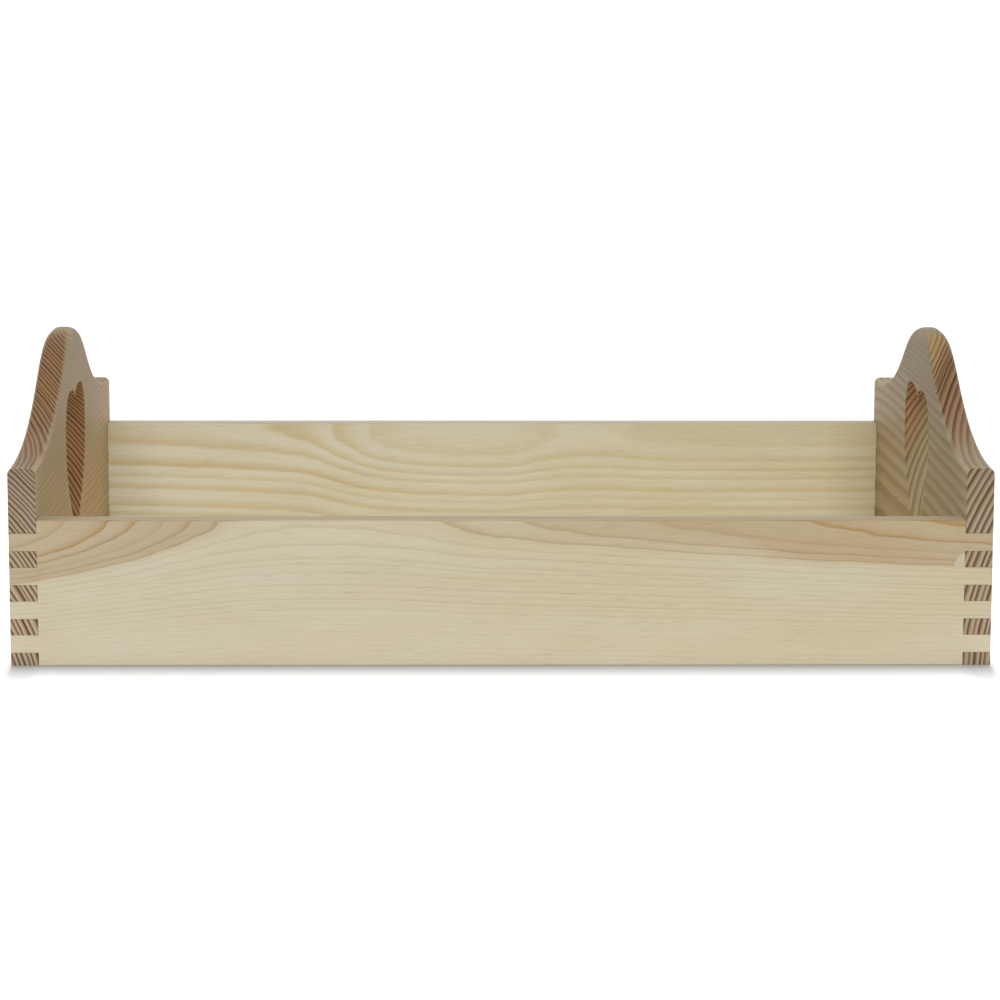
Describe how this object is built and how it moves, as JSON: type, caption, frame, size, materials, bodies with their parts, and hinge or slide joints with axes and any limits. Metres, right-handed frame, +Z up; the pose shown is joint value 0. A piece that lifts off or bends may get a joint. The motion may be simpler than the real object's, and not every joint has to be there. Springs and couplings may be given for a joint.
{
  "type": "serving tray",
  "caption": "Finger-jointed wooden serving tray with low sides and raised ogee end boards, each with a heart-shaped hand hole.",
  "frame": {"origin": "on the supporting surface, under the middle of the tray", "axes": "+X along the tray from the left handle board to the right one, +Y from the front board to the rear board, +Z up"},
  "size_m": [0.4, 0.3, 0.1222],
  "materials": {
    "pale_pine": "planed and sanded, unfinished",
    "yellow_pine": "planed and sanded, unfinished",
    "brown_pine": "sanded, unfinished",
    "pine_plywood": "sanded, unfinished"
  },
  "bodies": {
    "root": {"front_board": "pale_pine", "rear_board": "yellow_pine", "left_handle_board": "brown_pine", "right_handle_board": "brown_pine", "bottom_panel": "pine_plywood"}
  },
  "joints": []
}
